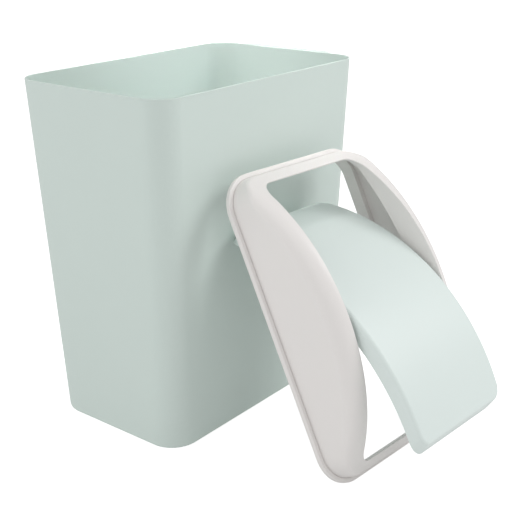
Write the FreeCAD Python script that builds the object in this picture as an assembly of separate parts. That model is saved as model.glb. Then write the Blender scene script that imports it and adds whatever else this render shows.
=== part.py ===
import FreeCAD, Part

import math
import os

# A household waste bin with a swing-top lid, in millimetres, +Z up.
# The origin is the centre of the bin's underside. The bin's long sides face +Y and -Y.
# The lid stands on the floor, leaning towards the -Y side, with its flap swung open.
#
# The lid and the flap are modelled in the lid's own axes: X across, Y along, Z out of the
# dome, from the middle of the plane that sits on the bin's rim. They are placed at the end.

Vector = FreeCAD.Vector

# ---- bin body -------------------------------------------------------------------------
BIN_HEIGHT = 395.0
RIM_LENGTH = 341.0
RIM_WIDTH = 218.5
RIM_CORNER = 30.5
FOOT_LENGTH = 312.5
FOOT_WIDTH = 191.5
FOOT_CORNER = 33.5
BIN_WALL = 2.0
BIN_FLOOR = 2.5
FOOT_ROUND = 5.0
RIM_ROUND = 0.7

# grip lip, on the +X end of the rim
GRIP_REACH = 10.0
GRIP_SPAN = 136.0
GRIP_TAPER = 12.0
GRIP_THICKNESS = 3.0
GRIP_CORNER = 3.0

# ---- lid frame ------------------------------------------------------------------------
# the lid's outline stays a little inside the bin's rim; its plug, further in, keeps it from sliding off
LID_SETBACK = 0.5
LID_LENGTH = RIM_LENGTH - 2 * LID_SETBACK
LID_WIDTH = RIM_WIDTH - 2 * LID_SETBACK
LID_CORNER = 39.5
LID_WALL = 2.0
RIM_BAND_HEIGHT = 5.0
RIM_BAND_ROUND = 1.5
RIM_BAND_WALL = 2.0
GROOVE_INSET = 4.5
GROOVE_WIDTH = 0.8
GROOVE_DEPTH = 0.8
PLUG_CLEARANCE = 10.5
PLUG_INSET = BIN_WALL - LID_SETBACK + PLUG_CLEARANCE
PLUG_END_CLEARANCE = 4.5
PLUG_END_INSET = BIN_WALL - LID_SETBACK + PLUG_END_CLEARANCE
PLUG_DEPTH = 9.9
PLUG_WALL = 1.8

# dome: arch along the lid, side walls that lean in, shoulders rounder at mid-length
ARCH_TOP = 84.5
ARCH_END = 26.7
DOME_DRAFT = 4.0
SHOULDER_MID = 21.0
SHOULDER_END = 9.0
SHOULDER_TURN = 78.0
SHOULDER_OVERRUN = 4.0
CROWN_ROUND = 7.0

# opening between the cheeks, with a lip that hangs from its edge and is deepest at mid-length
STRIP_WIDTH = 18.0
CHEEK_WIDTH_MID = 28.25
CHEEK_WIDTH_END = 31.75
OPENING_HALF_LENGTH = LID_LENGTH / 2 - STRIP_WIDTH
OPENING_HALF_MID = LID_WIDTH / 2 - CHEEK_WIDTH_MID
OPENING_HALF_END = LID_WIDTH / 2 - CHEEK_WIDTH_END
OPENING_CORNER = 17.0
OPENING_ROUND = 1.0
LIP_WALL = 2.0
LIP_END_DEPTH = 4.0
LIP_BELOW_PIVOT = 7.0

# ---- flap -----------------------------------------------------------------------------
FLAP_END_GAP = 2.3
FLAP_HALF_LENGTH = OPENING_HALF_LENGTH - FLAP_END_GAP
FLAP_SIDE_GAP_MID = 3.5
FLAP_SIDE_GAP_END = 3.0
FLAP_CORNER = 14.0
FLAP_SINK = 2.9
FLAP_TOP = ARCH_TOP - FLAP_SINK
FLAP_END_RISE = 7.9
FLAP_SKIRT = 18.4
FLAP_WALL = 2.0
FLAP_ROUND = 4.5

# ---- pivots ---------------------------------------------------------------------------
PIVOT_DROP = 21.6
PIVOT_HEIGHT = FLAP_TOP - PIVOT_DROP
PIN_RADIUS = 3.0
PIN_CLEARANCE = 0.08
PIN_PROTRUSION = 1.2
EAR_RADIUS = 8.0
EAR_SETBACK = 0.5

# ---- how the lid stands -----------------------------------------------------------------
LEAN_ANGLE = 63.15
LEAN_YAW = -3.9
LEAN_FOOT_X = -7.4
FLAP_OPEN_ANGLE = 29.5
REST_GAP = 0.3

MARGIN = 10.0


def rounded_wire(size_x, size_y, radius, z):
    """Closed outline of a rectangle with round corners, centred on the Z axis."""
    half_x = size_x / 2
    half_y = size_y / 2
    centres = [
        (half_x - radius, half_y - radius, 0),
        (radius - half_x, half_y - radius, 90),
        (radius - half_x, radius - half_y, 180),
        (half_x - radius, radius - half_y, 270),
    ]
    edges = []
    last = None
    for centre_x, centre_y, start in centres:
        points = []
        for angle in (start, start + 45, start + 90):
            turn = math.radians(angle)
            points.append(Vector(centre_x + radius * math.cos(turn), centre_y + radius * math.sin(turn), z))
        if last is not None:
            edges.append(Part.LineSegment(last, points[0]).toShape())
        edges.append(Part.Arc(*points).toShape())
        last = points[2]
    edges.append(Part.LineSegment(last, edges[0].Vertexes[0].Point).toShape())
    return Part.Wire(edges)


def rounded_block(size_x, size_y, radius, z_low, z_high):
    """Upright block on a rounded rectangle."""
    face = Part.Face(rounded_wire(size_x, size_y, radius, z_low))
    return face.extrude(Vector(0, 0, z_high - z_low))


def lid_block(inset, z_low, z_high):
    """Upright block on the lid's outline, drawn in by inset."""
    return rounded_block(LID_WIDTH - 2 * inset, LID_LENGTH - 2 * inset, LID_CORNER - inset, z_low, z_high)


def plug_block(extra, z_low, z_high):
    """Upright block on the plug's outline, drawn in by extra."""
    size_x = LID_WIDTH - 2 * (PLUG_INSET + extra)
    size_y = LID_LENGTH - 2 * (PLUG_END_INSET + extra)
    return rounded_block(size_x, size_y, LID_CORNER - PLUG_INSET - extra, z_low, z_high)


def edges_at(shape, z):
    """Edges that lie wholly at height z."""
    found = []
    for edge in shape.Edges:
        box = edge.BoundBox
        if abs(box.ZMin - z) < 0.01 and abs(box.ZMax - z) < 0.01:
            found.append(edge)
    return found


# ---- bin body -------------------------------------------------------------------------
def taper(z):
    """Share of the way from the foot to the rim at height z."""
    return z / BIN_HEIGHT


def bin_outline(inset, z):
    """Horizontal outline of the bin at height z, drawn in by inset."""
    share = taper(z)
    length = FOOT_LENGTH + (RIM_LENGTH - FOOT_LENGTH) * share
    width = FOOT_WIDTH + (RIM_WIDTH - FOOT_WIDTH) * share
    corner = FOOT_CORNER + (RIM_CORNER - FOOT_CORNER) * share
    return rounded_wire(length - 2 * inset, width - 2 * inset, corner - inset, z)


def grip_lip():
    """Flange that stands out of the rim's +X end, with slanted ends."""
    inner_x = RIM_LENGTH / 2 - BIN_WALL / 2
    outer_x = RIM_LENGTH / 2 + GRIP_REACH
    half = GRIP_SPAN / 2
    low = BIN_HEIGHT - GRIP_THICKNESS
    corners = [
        Vector(inner_x, -half, low),
        Vector(outer_x, GRIP_TAPER - half, low),
        Vector(outer_x, half - GRIP_TAPER, low),
        Vector(inner_x, half, low),
    ]
    plate = Part.Face(Part.makePolygon(corners + corners[:1])).extrude(Vector(0, 0, GRIP_THICKNESS))
    upright = [e for e in plate.Edges if e.BoundBox.ZLength > 1 and e.BoundBox.XMin > inner_x + 1]
    plate = plate.makeFillet(GRIP_CORNER, upright)
    top = [e for e in edges_at(plate, BIN_HEIGHT) if e.BoundBox.XMax > outer_x - 1]
    return plate.makeFillet(RIM_ROUND, top)


def bin_body():
    outer = Part.makeLoft([bin_outline(0, 0), bin_outline(0, BIN_HEIGHT)], True, True)
    outer = outer.makeFillet(FOOT_ROUND, edges_at(outer, 0))
    top = BIN_HEIGHT + MARGIN
    inner = Part.makeLoft([bin_outline(BIN_WALL, BIN_FLOOR), bin_outline(BIN_WALL, top)], True, True)
    inner = inner.makeFillet(FOOT_ROUND - BIN_WALL, edges_at(inner, BIN_FLOOR))
    shell = outer.cut(inner)
    shell = shell.makeFillet(RIM_ROUND, edges_at(shell, BIN_HEIGHT))
    return shell.fuse(grip_lip()).removeSplitter()


# ---- lid frame ------------------------------------------------------------------------
def arc_through(half_span, end_height, mid_height):
    """Radius and centre height of the arc through both ends and the middle."""
    rise = mid_height - end_height
    radius = (half_span ** 2 + rise ** 2) / (2 * rise)
    return radius, mid_height - radius


def arc_height(y, radius, centre):
    return centre + math.sqrt(radius ** 2 - y ** 2)


def dome_base_half():
    return LID_WIDTH / 2 - GROOVE_INSET - GROOVE_WIDTH


def dome_wall_x(z, inward):
    """Half width between the dome's side walls at height z."""
    lean = math.tan(math.radians(DOME_DRAFT))
    return dome_base_half() - inward - (z - RIM_BAND_HEIGHT) * lean


def shoulder_radius(height):
    """Shoulder radius where the arch stands this high: large at mid-length, small at the ends."""
    share = (height - RIM_BAND_HEIGHT) / (ARCH_TOP - RIM_BAND_HEIGHT)
    return SHOULDER_END + (SHOULDER_MID - SHOULDER_END) * max(0.0, share)


def crown_section(y, inward):
    """Closed section across the dome at y: flat top, round shoulders, then well outside the walls."""
    radius, centre = arc_through(OPENING_HALF_LENGTH, ARCH_END, ARCH_TOP)
    top = arc_height(y, radius, centre)
    shoulder = shoulder_radius(top) - inward
    top = top - inward
    meet = math.radians(SHOULDER_TURN)
    end = math.radians(SHOULDER_TURN + SHOULDER_OVERRUN)
    wall_x = dome_wall_x(top - shoulder * (1 - math.cos(meet)), inward)
    flat_x = wall_x - shoulder * math.sin(meet)
    side_x = LID_WIDTH / 2 + MARGIN
    arc_points = []
    for angle in (0, end / 2, end):
        arc_points.append((flat_x + shoulder * math.sin(angle), top - shoulder * (1 - math.cos(angle))))
    right = [Vector(x, y, z) for x, z in arc_points]
    left = [Vector(-x, y, z) for x, z in arc_points]
    low = -PLUG_DEPTH - MARGIN
    outline = [
        Part.LineSegment(left[0], right[0]),
        Part.Arc(*right),
        Part.LineSegment(right[2], Vector(side_x, y, right[2].z)),
        Part.LineSegment(Vector(side_x, y, right[2].z), Vector(side_x, y, low)),
        Part.LineSegment(Vector(side_x, y, low), Vector(-side_x, y, low)),
        Part.LineSegment(Vector(-side_x, y, low), Vector(-side_x, y, left[2].z)),
        Part.LineSegment(Vector(-side_x, y, left[2].z), left[2]),
        Part.Arc(left[2], left[1], left[0]),
    ]
    return Part.Wire([piece.toShape() for piece in outline])


def dome_solid(inward, z_low):
    """Dome as a closed solid, every face drawn in by inward."""
    inset = GROOVE_INSET + GROOVE_WIDTH + inward
    z_high = ARCH_TOP + MARGIN
    lean = math.tan(math.radians(DOME_DRAFT))
    wires = []
    for z in (z_low, z_high):
        drawn_in = inset + (z - RIM_BAND_HEIGHT) * lean
        size_x = LID_WIDTH - 2 * drawn_in
        size_y = LID_LENGTH - 2 * drawn_in
        wires.append(rounded_wire(size_x, size_y, LID_CORNER - drawn_in, z))
    walls = Part.makeLoft(wires, True, True)
    reach = LID_LENGTH / 2
    count = 12
    stations = [reach * (2 * i / count - 1) for i in range(count + 1)]
    crown = Part.makeLoft([crown_section(y, inward) for y in stations], True, False)
    dome = walls.common(crown)
    straight = LID_LENGTH / 2 - LID_CORNER
    round_ends = [e for e in dome.Edges if e.BoundBox.ZMin > z_low + 1 and abs(e.CenterOfMass.y) > straight]
    return dome.makeFillet(CROWN_ROUND - inward, round_ends)


def bowed_block(half_length, half_mid, half_end, corner, z_low, z_high):
    """Upright block with straight ends, bowed sides and round corners."""
    start = Vector(half_end, -half_length, z_low)
    finish = Vector(half_end, half_length, z_low)
    far_finish = Vector(-half_end, half_length, z_low)
    far_start = Vector(-half_end, -half_length, z_low)
    outline = [
        Part.Arc(start, Vector(half_mid, 0, z_low), finish),
        Part.LineSegment(finish, far_finish),
        Part.Arc(far_finish, Vector(-half_mid, 0, z_low), far_start),
        Part.LineSegment(far_start, start),
    ]
    block = Part.Face(Part.Wire([piece.toShape() for piece in outline])).extrude(Vector(0, 0, z_high - z_low))
    upright = [edge for edge in block.Edges if edge.BoundBox.ZLength > 1]
    return block.makeFillet(corner, upright)


def opening_block(outset, z_low, z_high):
    return bowed_block(
        OPENING_HALF_LENGTH + outset,
        OPENING_HALF_MID + outset,
        OPENING_HALF_END + outset,
        OPENING_CORNER + outset,
        z_low,
        z_high,
    )


def arched_slab(radius, centre, low, half_width):
    """Everything between height low and an arc that runs along Y."""
    reach = LID_LENGTH / 2
    end_height = arc_height(reach, radius, centre)
    arc = Part.Arc(
        Vector(-half_width, -reach, end_height),
        Vector(-half_width, 0, centre + radius),
        Vector(-half_width, reach, end_height),
    )
    corners = [
        Vector(-half_width, reach, end_height),
        Vector(-half_width, reach, low),
        Vector(-half_width, -reach, low),
        Vector(-half_width, -reach, end_height),
    ]
    edges = [arc.toShape()]
    for first, second in zip(corners, corners[1:]):
        edges.append(Part.LineSegment(first, second).toShape())
    return Part.Face(Part.Wire(edges)).extrude(Vector(2 * half_width, 0, 0))


def pivot_cylinder(radius, x_from, x_to):
    return Part.makeCylinder(radius, x_to - x_from, Vector(x_from, 0, PIVOT_HEIGHT), Vector(1, 0, 0))


def rim_band():
    """Band that sits on the bin's rim, hollow below, with a thin groove round its ledge."""
    band = lid_block(0, 0, RIM_BAND_HEIGHT)
    band = band.makeFillet(RIM_BAND_ROUND, edges_at(band, RIM_BAND_HEIGHT))
    groove_low = RIM_BAND_HEIGHT - GROOVE_DEPTH
    groove = lid_block(GROOVE_INSET, groove_low, RIM_BAND_HEIGHT + 1)
    groove = groove.cut(lid_block(GROOVE_INSET + GROOVE_WIDTH, groove_low - 1, RIM_BAND_HEIGHT + 2))
    channel = lid_block(RIM_BAND_WALL, -1, RIM_BAND_HEIGHT - LID_WALL)
    channel = channel.cut(plug_block(0, -2, RIM_BAND_HEIGHT))
    return band.cut(groove).cut(channel)


def opening_lip(dome):
    """Wall that hangs from the opening's edge. It carries the flap's pivots."""
    top = ARCH_TOP + MARGIN
    ring = opening_block(LIP_WALL, 0, top).cut(opening_block(0, -1, top + 1))
    end_height = ARCH_END - LIP_END_DEPTH
    radius, centre = arc_through(OPENING_HALF_LENGTH, end_height, PIVOT_HEIGHT - LIP_BELOW_PIVOT)
    below = arched_slab(radius, centre, -MARGIN, LID_WIDTH)
    return ring.common(dome).cut(below)


def opening_top_edges(frame):
    """Edges where the dome's crown meets the opening."""
    radius, centre = arc_through(OPENING_HALF_LENGTH, ARCH_END, ARCH_TOP)
    found = []
    for edge in frame.Edges:
        middle = edge.valueAt((edge.FirstParameter + edge.LastParameter) / 2)
        within = abs(middle.x) < OPENING_HALF_MID + 0.1 and abs(middle.y) < OPENING_HALF_LENGTH + 0.1
        if within and abs(middle.z - arc_height(middle.y, radius, centre)) < OPENING_ROUND:
            found.append(edge)
    return found


def lid_frame():
    dome = dome_solid(0, RIM_BAND_HEIGHT - GROOVE_DEPTH)
    plug = plug_block(0, -PLUG_DEPTH, RIM_BAND_HEIGHT)
    frame = rim_band().fuse([plug, dome])
    frame = frame.cut(dome_solid(LID_WALL, RIM_BAND_HEIGHT))
    frame = frame.cut(plug_block(PLUG_WALL, -PLUG_DEPTH - 1, RIM_BAND_HEIGHT + 1))
    frame = frame.fuse(opening_lip(dome))
    frame = frame.cut(opening_block(0, -PLUG_DEPTH - 1, ARCH_TOP + MARGIN))
    reach = OPENING_HALF_MID + LIP_WALL + 1
    frame = frame.cut(pivot_cylinder(PIN_RADIUS + PIN_CLEARANCE, -reach, reach)).removeSplitter()
    return frame.makeFillet(OPENING_ROUND, opening_top_edges(frame))


# ---- flap -----------------------------------------------------------------------------
def flap_block(inset, z_low, z_high):
    return bowed_block(
        FLAP_HALF_LENGTH - inset,
        OPENING_HALF_MID - FLAP_SIDE_GAP_MID - inset,
        OPENING_HALF_END - FLAP_SIDE_GAP_END - inset,
        FLAP_CORNER - inset,
        z_low,
        z_high,
    )


def flap_arc():
    return arc_through(FLAP_HALF_LENGTH, ARCH_END + FLAP_END_RISE, FLAP_TOP)


def flap_top_solid(inset):
    """Closed solid under the flap's curved top, drawn in by inset and rounded along its top edge."""
    radius, centre = flap_arc()
    low = -2 * MARGIN
    slab = arched_slab(radius - inset, centre, low - MARGIN, LID_WIDTH)
    block = flap_block(inset, low, FLAP_TOP + MARGIN).common(slab)
    top_face = max(block.Faces, key=lambda face: face.CenterOfMass.z)
    return block.makeFillet(FLAP_ROUND - inset, top_face.Edges)


def flap():
    shell = flap_top_solid(0).cut(flap_top_solid(FLAP_WALL))
    radius, centre = flap_arc()
    below = arched_slab(radius, centre - FLAP_SKIRT, -3 * MARGIN - 1, LID_WIDTH)
    shell = shell.cut(below)
    side_x = OPENING_HALF_MID - FLAP_SIDE_GAP_MID
    tip_x = OPENING_HALF_MID + LIP_WALL + PIN_PROTRUSION
    ear_x = side_x - EAR_SETBACK
    for side in (-1, 1):
        ear_from, ear_to = sorted((side * (ear_x - FLAP_WALL), side * ear_x))
        pin_from, pin_to = sorted((side * (ear_x - FLAP_WALL), side * tip_x))
        ear = pivot_cylinder(EAR_RADIUS, ear_from, ear_to)
        shell = shell.fuse([ear, pivot_cylinder(PIN_RADIUS, pin_from, pin_to)])
    return shell.removeSplitter()


# ---- placing --------------------------------------------------------------------------
def lean(foot_y):
    """Placement of the lid: its lowest edge on the floor, leaning towards the bin."""
    turn = FreeCAD.Rotation(Vector(0, 0, 1), LEAN_YAW).multiply(FreeCAD.Rotation(Vector(1, 0, 0), LEAN_ANGLE))
    tilt = math.radians(LEAN_ANGLE)
    foot_z = max(0.0, PLUG_DEPTH * math.cos(tilt) - PLUG_END_INSET * math.sin(tilt))
    foot = Vector(LEAN_FOOT_X, foot_y, foot_z)
    return FreeCAD.Placement(foot + turn.multVec(Vector(0, LID_LENGTH / 2, 0)), turn)


def swung_open():
    """Placement of the flap in the lid: turned about its pins, upper end inwards."""
    pivot = Vector(0, 0, PIVOT_HEIGHT)
    turn = FreeCAD.Rotation(Vector(1, 0, 0), -FLAP_OPEN_ANGLE)
    return FreeCAD.Placement(pivot - turn.multVec(pivot), turn)


def placed(shape, placement):
    copy = shape.copy()
    copy.Placement = placement.multiply(copy.Placement)
    return copy


def room_to_bin(shape):
    """Least distance along Y from the shape's edges to the bin's -Y side."""
    room = []
    for edge in shape.Edges:
        for point in edge.discretize(Deflection=0.05):
            half_width = (FOOT_WIDTH + (RIM_WIDTH - FOOT_WIDTH) * taper(point.z)) / 2
            room.append(-half_width - point.y)
    return min(room)


def leaning_lid(frame, swinging):
    """Frame and flap moved along Y until one of them rests on the bin."""
    start_y = -LID_LENGTH - RIM_WIDTH
    start = lean(start_y)
    opened = swung_open()
    room = min(room_to_bin(placed(frame, start)), room_to_bin(placed(swinging, start.multiply(opened))))
    leaning = lean(start_y + room - REST_GAP)
    return leaning, placed(frame, leaning), placed(swinging, leaning.multiply(opened))


def main():
    os.makedirs("parts", exist_ok=True)
    leaning, frame, swinging = leaning_lid(lid_frame(), flap())
    nodes = {"bin_body": bin_body(), "lid_frame": frame, "flap": swinging}
    for name, shape in nodes.items():
        if not shape.isValid() or len(shape.Solids) != 1:
            raise ValueError(name + " is not one valid solid")
        shape.exportStep("parts/" + name + ".step")
        print(name, round(shape.Volume / 1000, 1), "cm3")
    print("lid origin", leaning.Base)
    print("lid normal", leaning.Rotation.multVec(Vector(0, 0, 1)))
    print("pivot", leaning.multVec(Vector(0, 0, PIVOT_HEIGHT)))
    print("pivot axis", leaning.Rotation.multVec(Vector(1, 0, 0)))


main()
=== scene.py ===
# %% [markdown]
# A household waste bin with a swing-top lid, in three plastic mouldings: a tapered bucket, a
# domed lid with an open middle, and a curved flap that swings in it on two stub pins. Here the
# lid is off and leans on the bucket. The exact solids come from CAD. This lesson gives them
# smooth surfaces and satin plastic, and sets them in a white studio.

# %% Load the fixed frame
import math

import bmesh
import bpy
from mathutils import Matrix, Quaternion, Vector


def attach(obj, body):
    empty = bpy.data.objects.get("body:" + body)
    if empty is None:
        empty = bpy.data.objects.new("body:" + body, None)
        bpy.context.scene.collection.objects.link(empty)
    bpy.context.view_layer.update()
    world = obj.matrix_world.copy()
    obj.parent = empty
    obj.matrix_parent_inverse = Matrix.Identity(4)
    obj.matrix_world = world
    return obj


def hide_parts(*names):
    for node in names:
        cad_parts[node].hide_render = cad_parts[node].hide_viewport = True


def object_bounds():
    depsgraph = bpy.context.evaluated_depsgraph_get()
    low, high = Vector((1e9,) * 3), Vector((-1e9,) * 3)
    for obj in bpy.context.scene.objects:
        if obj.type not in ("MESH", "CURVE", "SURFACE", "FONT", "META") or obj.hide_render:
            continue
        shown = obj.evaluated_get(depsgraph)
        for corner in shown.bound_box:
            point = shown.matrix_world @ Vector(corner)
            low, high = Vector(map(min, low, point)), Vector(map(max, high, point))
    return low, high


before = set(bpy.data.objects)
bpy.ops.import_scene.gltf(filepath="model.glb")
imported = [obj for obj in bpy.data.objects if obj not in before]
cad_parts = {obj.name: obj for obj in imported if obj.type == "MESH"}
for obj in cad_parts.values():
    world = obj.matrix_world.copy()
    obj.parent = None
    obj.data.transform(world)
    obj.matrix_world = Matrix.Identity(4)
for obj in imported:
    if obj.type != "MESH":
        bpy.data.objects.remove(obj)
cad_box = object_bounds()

print("box", [round(x, 4) for corner in cad_box for x in corner])

# %% [markdown]
# The camera stands to the left of the bin and looks a little down, so that one long side, one
# end and the inside all show. A long lens from over a metre away keeps the upright edges close
# to parallel. Azimuth 0 looks along +Y, and the camera turns about the point that it looks at.

# %% Camera
AZIMUTH = math.radians(-51.517)
ELEVATION = math.radians(20.389)
ROLL = math.radians(-0.354)
DISTANCE = 1.302
AIM = Vector((0.1167, 0.0, 0.1260))
LENS = 68.55
SENSOR = 36.0


def make_camera():
    back = Vector((
        math.sin(AZIMUTH) * math.cos(ELEVATION),
        -math.cos(AZIMUTH) * math.cos(ELEVATION),
        math.sin(ELEVATION),
    ))
    camera = bpy.data.objects.new("camera", bpy.data.cameras.new("camera"))
    bpy.context.scene.collection.objects.link(camera)
    camera.data.lens = LENS
    camera.data.sensor_width = SENSOR
    camera.rotation_mode = "QUATERNION"
    camera.rotation_quaternion = (-back).to_track_quat("-Z", "Y") @ Quaternion((0, 0, 1), ROLL)
    camera.location = AIM + back * DISTANCE
    bpy.context.scene.camera = camera
    print("camera at", [round(x, 3) for x in camera.location])


make_camera()

# %% [markdown]
# Moulded plastic is smooth from one face into the next. A CAD solid arrives as loose triangles,
# each with its own corners, so light breaks up over them. Shading them as they are would show
# every facet. Instead each solid is copied, its doubled corners are merged, and the copy is
# shaded smooth, with the real creases kept sharp. Weighted normals then keep the flat faces flat,
# because the widest triangle at a corner has the most say.

# %% Smooth copies of the three mouldings
MERGE_DISTANCE = 1e-6
CREASE = math.radians(28)


def smooth_copy(node, name, body):
    """Merged and smoothly shaded copy of a CAD node, riding on that node's body."""
    work = bmesh.new()
    work.from_mesh(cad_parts[node].data)
    bmesh.ops.remove_doubles(work, verts=work.verts, dist=MERGE_DISTANCE)
    bmesh.ops.dissolve_degenerate(work, edges=work.edges, dist=MERGE_DISTANCE)
    for face in work.faces:
        face.smooth = True
    for edge in work.edges:
        edge.smooth = len(edge.link_faces) == 2 and edge.calc_face_angle(math.pi) < CREASE
    open_edges = sum(1 for edge in work.edges if len(edge.link_faces) != 2)
    mesh = bpy.data.meshes.new(name)
    work.to_mesh(mesh)
    work.free()
    piece = bpy.data.objects.new(name, mesh)
    bpy.context.scene.collection.objects.link(piece)
    normals = piece.modifiers.new("flat faces stay flat", "WEIGHTED_NORMAL")
    normals.mode = "FACE_AREA_WITH_ANGLE"
    normals.keep_sharp = True
    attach(piece, body)
    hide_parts(node)
    print(name, len(mesh.polygons), "triangles,", open_edges, "open edges")
    return piece


bucket = smooth_copy("bin_body", "bucket", "bin")
lid = smooth_copy("lid_frame", "lid_shell", "lid")
flap = smooth_copy("flap", "swing_flap", "flap")

# %% [markdown]
# A shader is a chain of small sums. Written as Python expressions they read like arithmetic, so
# one class wraps a socket and turns +, - and * into Math nodes, and one method adds any other
# node. The sky is wired in the same way as a material.

# %% Shader arithmetic
OBJECT_COORDINATES = 3
MIX_FACTOR, MIX_FIRST, MIX_SECOND = 0, 6, 7
MIX_COLOUR = 2


class Wire:
    """A socket in a node tree. Sums on it add Math nodes."""

    def __init__(self, wiring, socket):
        self.wiring = wiring
        self.socket = socket

    def sum(self, operation, first, second):
        return self.wiring.node("ShaderNodeMath", {"operation": operation}, {0: first, 1: second})

    def __add__(self, other):
        return self.sum("ADD", self, other)

    __radd__ = __add__

    def __sub__(self, other):
        return self.sum("SUBTRACT", self, other)

    def __rsub__(self, other):
        return self.sum("SUBTRACT", other, self)

    def __mul__(self, other):
        return self.sum("MULTIPLY", self, other)

    __rmul__ = __mul__


class Wiring:
    """The node tree of a material or a world, and the means to wire it."""

    def __init__(self, owner):
        owner.use_nodes = True
        self.tree = owner.node_tree

    def node(self, kind, settings=None, inputs=None, output=0):
        """Any node: its settings are set first, then its sockets get values or links."""
        made = self.tree.nodes.new(kind)
        for name, value in (settings or {}).items():
            setattr(made, name, value)
        for socket, value in (inputs or {}).items():
            self.feed(made.inputs[socket], value)
        return Wire(self, made.outputs[output])

    def feed(self, socket, value):
        if isinstance(value, Wire):
            self.tree.links.new(value.socket, socket)
        else:
            socket.default_value = value

    def mix(self, factor, first, second):
        """A colour between first, at factor 0, and second, at factor 1."""
        return self.node(
            "ShaderNodeMix",
            {"data_type": "RGBA"},
            {MIX_FACTOR: factor, MIX_FIRST: first, MIX_SECOND: second},
            output=MIX_COLOUR,
        )


class Finish(Wiring):
    """A material, the inputs of its shader and the pieces that wear it."""

    def __init__(self, name):
        self.material = bpy.data.materials.new(name)
        super().__init__(self.material)
        self.inputs = self.tree.nodes["Principled BSDF"].inputs

    def set(self, **values):
        """Values or links for the shader's inputs, with _ for the space in an input's name."""
        for name, value in values.items():
            self.feed(self.inputs[name.replace("_", " ")], value)

    def wear_on(self, piece):
        piece.data.materials.clear()
        piece.data.materials.append(self.material)


# %% [markdown]
# Injection moulded polypropylene is satin: the mould's fine spark-eroded grain scatters the
# highlight. Its colour isn't quite even either. Pigment swirls slowly through it, and handling
# leaves faint dull patches. All three are noises of Object coordinates at different sizes, kept
# so weak that they are felt and not seen.

# %% Satin plastic
CLOUD_SCALE, CLOUD_DETAIL, CLOUD_SHARE = 9.0, 3.0, 0.7
HANDLING_SCALE, HANDLING_DETAIL, HANDLING_SHARE = 38.0, 5.0, 0.3
HANDLING_MEAN = 0.5
GRAIN_SCALE, GRAIN_DETAIL = 1500.0, 2.0
GRAIN_HEIGHT = 0.00003
GRAIN_STRENGTH = 0.25
ROUGHNESS_SWING = 0.10
PLASTIC_IOR = 1.49

MINT = (0.640, 0.730, 0.690)
PALE_MINT = (0.740, 0.820, 0.795)
WARM_WHITE = (0.825, 0.798, 0.780)


def noise(finish, place, scale, detail):
    return finish.node(
        "ShaderNodeTexNoise",
        {"noise_dimensions": "3D"},
        {"Vector": place, "Scale": scale, "Detail": detail},
    )


def satin_plastic(name, colour, cloud, roughness):
    """Moulded plastic of one colour, with slow pigment clouds, dull patches and a fine grain."""
    finish = Finish(name)
    place = finish.node("ShaderNodeTexCoord", output=OBJECT_COORDINATES)
    clouds = noise(finish, place, CLOUD_SCALE, CLOUD_DETAIL)
    patches = noise(finish, place, HANDLING_SCALE, HANDLING_DETAIL)
    grain = noise(finish, place, GRAIN_SCALE, GRAIN_DETAIL)
    deep = [channel * (1 - cloud) for channel in colour] + [1.0]
    pale = [min(1.0, channel * (1 + cloud)) for channel in colour] + [1.0]
    tint = finish.mix(clouds * CLOUD_SHARE + patches * HANDLING_SHARE, deep, pale)
    dull = roughness + (patches - HANDLING_MEAN) * ROUGHNESS_SWING
    bump = finish.node(
        "ShaderNodeBump",
        None,
        {"Strength": GRAIN_STRENGTH, "Distance": GRAIN_HEIGHT, "Height": grain},
    )
    finish.set(Base_Color=tint, Roughness=dull, Normal=bump, IOR=PLASTIC_IOR)
    print(name, "made")
    return finish


satin_plastic("mint_plastic", MINT, cloud=0.02, roughness=0.42).wear_on(bucket)
satin_plastic("pale_mint_plastic", PALE_MINT, cloud=0.015, roughness=0.40).wear_on(flap)
satin_plastic("warm_white_plastic", WARM_WHITE, cloud=0.015, roughness=0.40).wear_on(lid)

# %% [markdown]
# The studio is a white floor under a white sky, so that shadows stay soft and pale. A catalogue
# floor is whiter than any real one: it is exposed until its shadows nearly wash out. So the floor
# shows the camera more glow of its own than it sends to the bin, which would otherwise be lit
# from below. The sky does the same. Two broad lights stand off to the camera's left and right, so
# that each wall is lit and the corner between them is a little darker. A weak one fills from the
# front, and a narrow beam from above brightens the inside of the bucket and its rim.

# %% Floor, sky and lights
FLOOR_SIZE = 12.0
FLOOR_COLOUR = 0.6
FLOOR_ROUGHNESS = 0.9
FLOOR_ON_BIN = 0.25
FLOOR_IN_CAMERA = 0.80
SKY_ON_BIN = 0.60
SKY_IN_CAMERA = 1.0

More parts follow.
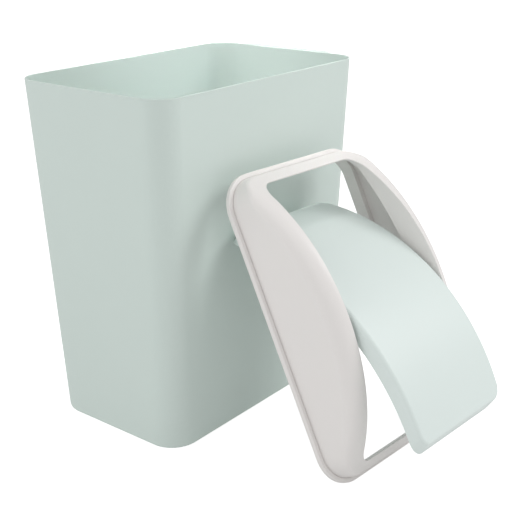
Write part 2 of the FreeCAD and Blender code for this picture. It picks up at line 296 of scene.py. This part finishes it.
# Each softbox: where it stands from the bin's centre, the side of its square, and its watts.
SOFTBOXES = {
    "left": (Vector((-1.5, 0.9, 1.2)), 1.2, 8.5),
    "right": (Vector((1.1, -1.5, 1.5)), 1.2, 19.0),
    "front": (Vector((-1.1, -1.0, 1.5)), 1.4, 2.5),
}
BEAM_PLACE = Vector((-0.06, -0.02, 1.1))
BEAM_AIM = Vector((0.09, 0.04, 0.25))
BEAM_SIZE = 0.2
BEAM_WATTS = 0.28
BEAM_SPREAD = math.radians(26)


def grey(level):
    return (level, level, level, 1)


def glow(wiring, on_bin, in_camera):
    """A grey that lights the bin at one level and shows the camera another."""
    is_camera_ray = wiring.node("ShaderNodeLightPath")
    return wiring.mix(is_camera_ray, grey(on_bin), grey(in_camera))


def make_floor():
    work = bmesh.new()
    bmesh.ops.create_grid(work, x_segments=1, y_segments=1, size=FLOOR_SIZE / 2)
    mesh = bpy.data.meshes.new("floor")
    work.to_mesh(mesh)
    work.free()
    floor = bpy.data.objects.new("floor", mesh)
    bpy.context.scene.collection.objects.link(floor)
    finish = Finish("studio_floor")
    finish.set(
        Base_Color=grey(FLOOR_COLOUR),
        Roughness=FLOOR_ROUGHNESS,
        Emission_Color=glow(finish, FLOOR_ON_BIN, FLOOR_IN_CAMERA),
        Emission_Strength=1.0,
    )
    finish.wear_on(floor)


def make_sky():
    world = bpy.data.worlds.new("white sky")
    bpy.context.scene.world = world
    sky = Wiring(world)
    background = sky.tree.nodes["Background"]
    sky.feed(background.inputs["Color"], glow(sky, SKY_ON_BIN, SKY_IN_CAMERA))
    sky.feed(background.inputs["Strength"], 1.0)


def softbox(name, place, size, watts, aim, spread=math.pi):
    light = bpy.data.objects.new(name, bpy.data.lights.new(name, "AREA"))
    bpy.context.scene.collection.objects.link(light)
    light.data.shape = "SQUARE"
    light.data.size = size
    light.data.energy = watts
    light.data.spread = spread
    light.location = place
    light.rotation_euler = (aim - place).to_track_quat("-Z", "Y").to_euler()


def make_studio():
    make_floor()
    centre = (cad_box[0] + cad_box[1]) / 2
    for name, (offset, size, watts) in SOFTBOXES.items():
        softbox(name, centre + offset, size, watts, centre)
    softbox("beam", BEAM_PLACE, BEAM_SIZE, BEAM_WATTS, BEAM_AIM, BEAM_SPREAD)
    make_sky()
    bpy.context.scene.view_settings.view_transform = "Standard"


make_studio()
